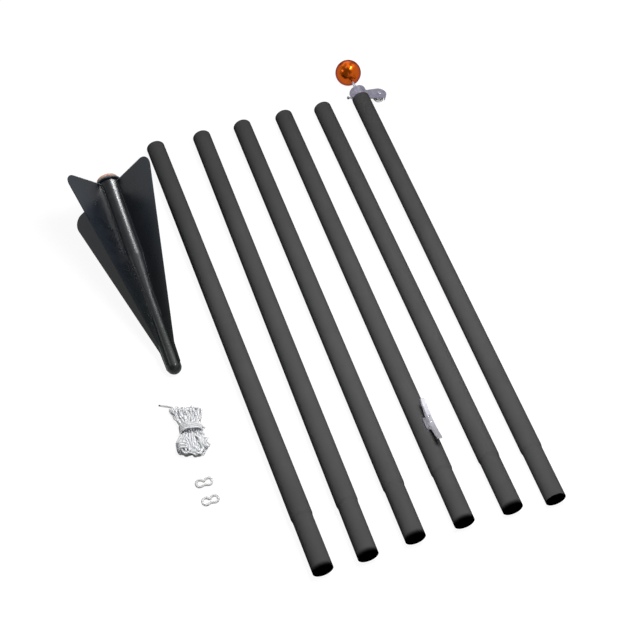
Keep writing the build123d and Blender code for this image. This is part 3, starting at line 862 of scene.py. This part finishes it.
def settle(points, held, rounds):
    """The cord can't stretch, kink or pass through itself, and it sinks a little."""
    loose = np.where(held, 0.0, 1.0)
    index = np.arange(len(points))
    chord_2 = 2 * TIGHTEST * math.sin(STEP / TIGHTEST)
    chord_4 = 2 * TIGHTEST * math.sin(2 * STEP / TIGHTEST)
    for k in range(rounds):
        if k % 5 == 0:
            far = np.linalg.norm(points[:, None] - points[None], axis=2)
            near_i, near_j = np.nonzero((far < 1.8 * ROPE) & (index[None] - index[:, None] > 3))
        push(points, loose, near_i, near_j, 0.95 * ROPE, 0.8 * min(1, 0.2 + k / rounds))
        push(points, loose, index[:-2], index[2:], chord_2, 0.5)
        push(points, loose, index[:-4], index[4:], chord_4, 0.5)
        points[tips] += (tip_places - points[tips]) * (0.2 if k < 0.8 * rounds else 0.05)
        points[:, 2] -= 0.04 * loose
        middle = (points[:-2] + points[2:]) / 2
        points[1:-1] += (middle - points[1:-1]) * 0.05 * loose[1:-1, None]
        keep_inside(points, loose)
        for first in (0, 1, 0, 1, 0, 1):
            push(points, loose, index[first:-1:2], index[first + 1::2], STEP, 1.0, only_short=False)
    return points


route = settle(route, held, ROUNDS)
route = np.concatenate([TAIL_POINTS[::-1], route])
print("route points", len(route))

# %% [markdown]
# ## The rope's tube
#
# The route's points steer one smooth NURBS spline, which runs near them without a
# corner. The tube is a mesh round that spline, because a mesh can carry its own map:
# one direction runs round the cord and the other along it, both in millimetres, which
# is what the braid's pattern needs.

# %% A smooth line through the route's points


def smooth_line(points, name, detail):
    """The points of a NURBS spline of order 3 that the given points steer."""
    data = bpy.data.curves.new(name, "CURVE")
    data.dimensions = "3D"
    spline = data.splines.new("NURBS")
    spline.points.add(len(points) - 1)
    for target, point in zip(spline.points, points):
        target.co = (*point, 1)
    spline.order_u = 3
    spline.use_endpoint_u = True
    spline.resolution_u = detail
    holder = bpy.data.objects.new(name, data)
    mesh = bpy.data.meshes.new_from_object(holder)
    line = [v.co.copy() for v in mesh.vertices]
    bpy.data.objects.remove(holder)
    bpy.data.curves.remove(data)
    bpy.data.meshes.remove(mesh)
    return line


rope_points = [to_row @ Vector(p) for p in route]
rope_line = smooth_line(rope_points, "rope_route", 3)
rope_length = sum((b - a).length for a, b in zip(rope_line, rope_line[1:]))
print("rope length", round(rope_length, 3), "m")

# %% A tube round a line, with a map in millimetres
ROUNDED_END = 0.72        # the last ring is this much smaller


def tube(name, line, radius, sides=12):
    """A closed tube with smaller ends; its UV map is (mm round the cord, mm along it)."""
    rings, map_v, far = [], [], 0.0
    across = (line[1] - line[0]).orthogonal().normalized()
    last = len(line) - 1
    for k, point in enumerate(line):
        ahead = (line[min(k + 1, last)] - line[max(k - 1, 0)]).normalized()
        across = (across - ahead * across.dot(ahead)).normalized()
        up = ahead.cross(across)
        far += (point - line[k - 1]).length if k else 0.0
        map_v.append(far / MM)
        size = radius * (ROUNDED_END if k in (0, last) else 1.0)
        for s in range(sides):
            angle = 2 * math.pi * s / sides
            rings.append(point + (across * math.cos(angle) + up * math.sin(angle)) * size)
    faces = skin_faces(0, len(line), sides)
    faces.append(tuple(range(sides))[::-1])
    faces.append(tuple(last * sides + s for s in range(sides)))
    piece = mesh_piece(name, rings, faces)
    mesh = piece.data
    layer = mesh.uv_layers.new(name="cord_mm")
    around = 2 * math.pi * radius / MM / sides
    for face in mesh.polygons:
        for corner, loop in enumerate(face.loop_indices):
            vertex = mesh.loops[loop].vertex_index
            s = vertex % sides
            if s == 0 and corner in (1, 2) and len(face.vertices) == 4:
                s = sides
            layer.data[loop].uv = (s * around, map_v[vertex // sides])
    return piece


rope = tube("halyard_rope", rope_line, ROPE / 2 * MM)
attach(rope, "kit")
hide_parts("rope_hank", "rope_tail")

# %% [markdown]
# ## Rope: braided polyester
#
# The cord is a braid of sixteen yarns, eight winding each way. Where two yarns cross,
# one stands up over the other, so the surface is a field of small slanted pads. On the
# map in millimetres each family of yarns is a set of slanted stripes, and the product of
# the two families gives the pads. Real pads are 2 mm long, and are drawn at 3 mm. The
# white is painted a cool grey between the pads, as painted shade, but the yarns are full
# of light, which goes in and comes out again some millimetres away. The cut end was
# sealed with a flame, which leaves it dark.

# %% Braid
PAD = 3.0                 # mm
AROUND = 5                # pads round the cord
FUZZ = 0.625              # mm
SEALED = 4.0              # mm of the burnt end
CORD_AROUND = math.pi * ROPE

material, tree = start_material("white_braided_polyester")
cord_map = add(tree, "UVMap", {"uv_map": "cord_mm"})
axes = add(tree, "SeparateXYZ", Vector=cord_map.outputs[0])
round_it = add(tree, "Math", {"operation": "MULTIPLY"},
               i0=axes.outputs[0], i1=2 * math.pi * AROUND / CORD_AROUND)
along_it = add(tree, "Math", {"operation": "MULTIPLY"},
               i0=axes.outputs[1], i1=2 * math.pi / (2 * PAD))
families = []
for operation in ("ADD", "SUBTRACT"):
    slant = add(tree, "Math", {"operation": operation},
                i0=round_it.outputs[0], i1=along_it.outputs[0])
    families.append(add(tree, "Math", {"operation": "SINE"}, i0=slant.outputs[0]).outputs[0])
pads = add(tree, "Math", {"operation": "MULTIPLY"}, i0=families[0], i1=families[1])
fuzz = add(tree, "TexNoise", Vector=cord_map.outputs[0], Scale=1 / FUZZ, Detail=3.0)
raised = add(tree, "MapRange", i0=pads.outputs[0], i1=-1.0, i2=1.0)
height = add(tree, "Math", {"operation": "MULTIPLY_ADD"},
             i0=fuzz.outputs[0], i1=0.35, i2=raised.outputs[0])
# painted shade: the low parts between the pads are greyer
shaded_yarn = add(tree, "Mix", COLOURS,
           i0=raised.outputs[0], i6=linear("#e2e4e8"), i7=linear("#f2f3f6"))
sealed = add(tree, "MapRange",
             i0=axes.outputs[1], i1=0.5 * SEALED, i2=1.4 * SEALED, i3=1.0, i4=0.0)
colour = add(tree, "Mix", COLOURS,
             i0=sealed.outputs[0], i6=shaded_yarn.outputs[2], i7=linear("#2e2c2c"))
bump = add(tree, "Bump", Strength=0.2, Distance=0.4 * MM, Height=height.outputs[0])
shader = add(tree, "BsdfPrincipled", Base_Color=colour.outputs[2], Roughness=0.75,
             Subsurface_Weight=1.0, Subsurface_Scale=7.0 * MM, Subsurface_Radius=EVEN,
             Normal=bump.outputs[0])
finish_material(tree, shader)
rope.data.materials.append(material)
print("rope pads", AROUND, "round and", round(rope_length / (2 * PAD * MM)), "along")

# %% [markdown]
# ## Floor
#
# More light would do that too, but it would bleach the rope. So the floor's own paper is
# a plain grey that bounces a modest light, and a glow is added only for what the camera
# sees, and for mirrors and glass, which lifts it to white and leaves the soft shadows in
# it.

# %% Floor
FLOOR_REACH = 30.0        # m
PAPER = "#6c6c6c"
GLOW_NEAR = 0.92
GLOW_FAR = 1.0            # from FAR metres
NEAR = 0.6
FAR = 1.3
PAPER_IN_MIRRORS = 0.5

corners = [(x * FLOOR_REACH, y * FLOOR_REACH, 0)
           for x, y in ((-1, -1), (1, -1), (1, 1), (-1, 1))]
floor = mesh_piece("floor", corners, [(0, 1, 2, 3)])


def seen(tree):
    """1 for what the camera or a pane of glass sees, less for a mirror, 0 for light on its way."""
    path = add(tree, "LightPath").outputs
    mirror = add(tree, "MapRange", i0=path["Is Glossy Ray"], i3=0.0, i4=PAPER_IN_MIRRORS)
    some = add(tree, "Math", {"operation": "MAXIMUM"},
               i0=path["Is Camera Ray"], i1=mirror.outputs[0])
    whole = add(tree, "Math", {"operation": "MAXIMUM"},
                i0=some.outputs[0], i1=path["Is Transmission Ray"])
    return whole.outputs[0]


paper, tree = start_material("white_paper")
spot = add(tree, "TexCoord").outputs["Object"]
away = add(tree, "VectorMath", {"operation": "LENGTH"}, i0=spot)
level = add(tree, "MapRange", SOFT_STEP,
            i0=away.outputs["Value"], i1=NEAR, i2=FAR, i3=GLOW_NEAR, i4=GLOW_FAR)
glow = add(tree, "Math", {"operation": "MULTIPLY"}, i0=seen(tree), i1=level.outputs[0])
lit = add(tree, "Emission", Color=(1, 1, 1, 1), Strength=glow.outputs[0])
matt = add(tree, "BsdfDiffuse", Color=linear(PAPER))
finish_material(tree, add(tree, "AddShader", i0=lit.outputs[0], i1=matt.outputs[0]))
floor.data.materials.append(paper)
print("floor", 2 * FLOOR_REACH, "m across")

# %% [markdown]
# ## World
#
# The ball and the castings are mirrors of the room, so the room matters more to them
# than the lamps do. Mirrors see more of it: one large soft patch in that direction,
# broken up by large dark and light panels. The camera itself sees plain white.

# %% World
DIM = 0.15
DIM_IN_MIRRORS = 0.4
PATCH = 1.0
PATCH_MIDDLE = Vector((0.15, 0.5, 0.85)).normalized()
PATCH_EDGE = 0.6          # cosines of the angle from the patch's middle
PATCH_FULL = 0.93
PANELS = 0.6              # noise scale over the sphere of directions, so a few large ones
PANEL_DARK = 0.4
PANEL_LIGHT = 1.5

world = bpy.data.worlds.new("studio")
bpy.context.scene.world = world
world.use_nodes = True
tree = world.node_tree
sky = tree.nodes["Background"]
sky.inputs["Color"].default_value = (1, 1, 1, 1)
direction = add(tree, "TexCoord").outputs["Generated"]
towards = add(tree, "VectorMath", {"operation": "DOT_PRODUCT"}, i0=direction, i1=PATCH_MIDDLE)
patch = add(tree, "MapRange", SOFT_STEP, i0=towards.outputs["Value"],
            i1=PATCH_EDGE, i2=PATCH_FULL, i3=DIM_IN_MIRRORS, i4=PATCH)
stretched = add(tree, "VectorMath", {"operation": "MULTIPLY"},
                i0=direction, i1=(3.0, 1.2, 1.2))
room = add(tree, "TexNoise", Vector=stretched.outputs[0],
           Scale=PANELS, Detail=1.0, Distortion=0.4)
panels = add(tree, "MapRange", SOFT_STEP,
             i0=room.outputs[0], i1=0.4, i2=0.6, i3=PANEL_DARK, i4=PANEL_LIGHT)
uneven = add(tree, "Math", {"operation": "MULTIPLY"},
             i0=patch.outputs[0], i1=panels.outputs[0])
path = add(tree, "LightPath").outputs
glossy = add(tree, "MapRange", i0=path["Is Glossy Ray"], i3=DIM, i4=uneven.outputs[0])
strength = add(tree, "MapRange", i0=path["Is Camera Ray"], i3=glossy.outputs[0], i4=1.0)
tree.links.new(strength.outputs[0], sky.inputs["Strength"])
bpy.context.scene.view_settings.view_transform = "Standard"
print("world", round(DIM, 2), "as light and", DIM_IN_MIRRORS, "to", PATCH, "in mirrors")

# %% [markdown]
# ## Lamps
#
# It gives the matt pieces their shading and every piece its shadow, and mirrors don't see
# it, or it would bleach the castings. The other lamps are there for mirrors alone, or
# nearly: a long strip under the ceiling for the ball's highlight, a tall stripe that only
# the spike's sleeve shows, as one bright line down its length, and a weak card on the
# left that lifts the castings' shaded side. A lamp is easiest to set by what it looks at,
# from which direction and how far away.

# %% Lamps


def lamp(name, target, towards, far, size, power, diffuse=True, glossy=True):
    """A soft rectangular lamp that looks at a target from the given direction."""
    data = bpy.data.lights.new(name, "AREA")
    data.shape = "RECTANGLE"
    data.size, data.size_y = size
    data.energy = power
    piece = bpy.data.objects.new(name, data)
    way = Vector(towards).normalized()
    piece.location = Vector(target) + way * far
    piece.rotation_euler = way.to_track_quat("Z", "Y").to_euler()
    piece.visible_diffuse, piece.visible_glossy = diffuse, glossy
    bpy.context.scene.collection.objects.link(piece)
    return piece


lamp("key", (0.05, -0.3, 0.0), (0.17, -0.03, 0.98), far=1.55,
     size=(0.7, 0.7), power=28, glossy=False)
lamp("ceiling_strip", ball_middle, (0.33, -0.14, 0.93), far=4.0,
     size=(1.7, 0.5), power=55, diffuse=False)
stripe = lamp("spike_stripe", spike_mouth, (0.5, 0.6, 0.62), far=2.5,
              size=(0.25, 1.6), power=70, diffuse=False)
shiny = bpy.data.collections.new("shiny_sleeve")
shiny.objects.link(nodes["spike_sleeve"])
stripe.light_linking.receiver_collection = shiny     # only the sleeve shows it
lamp("left_card", ball_middle, (-0.82, 0.02, 0.57), far=3.2, size=(0.8, 0.6), power=3)
print("lamps", len(bpy.data.lights))

# %% [markdown]
# ## Last step
#
# Last, the view layer is updated.

# %% Update the view layer
bpy.context.view_layer.update()
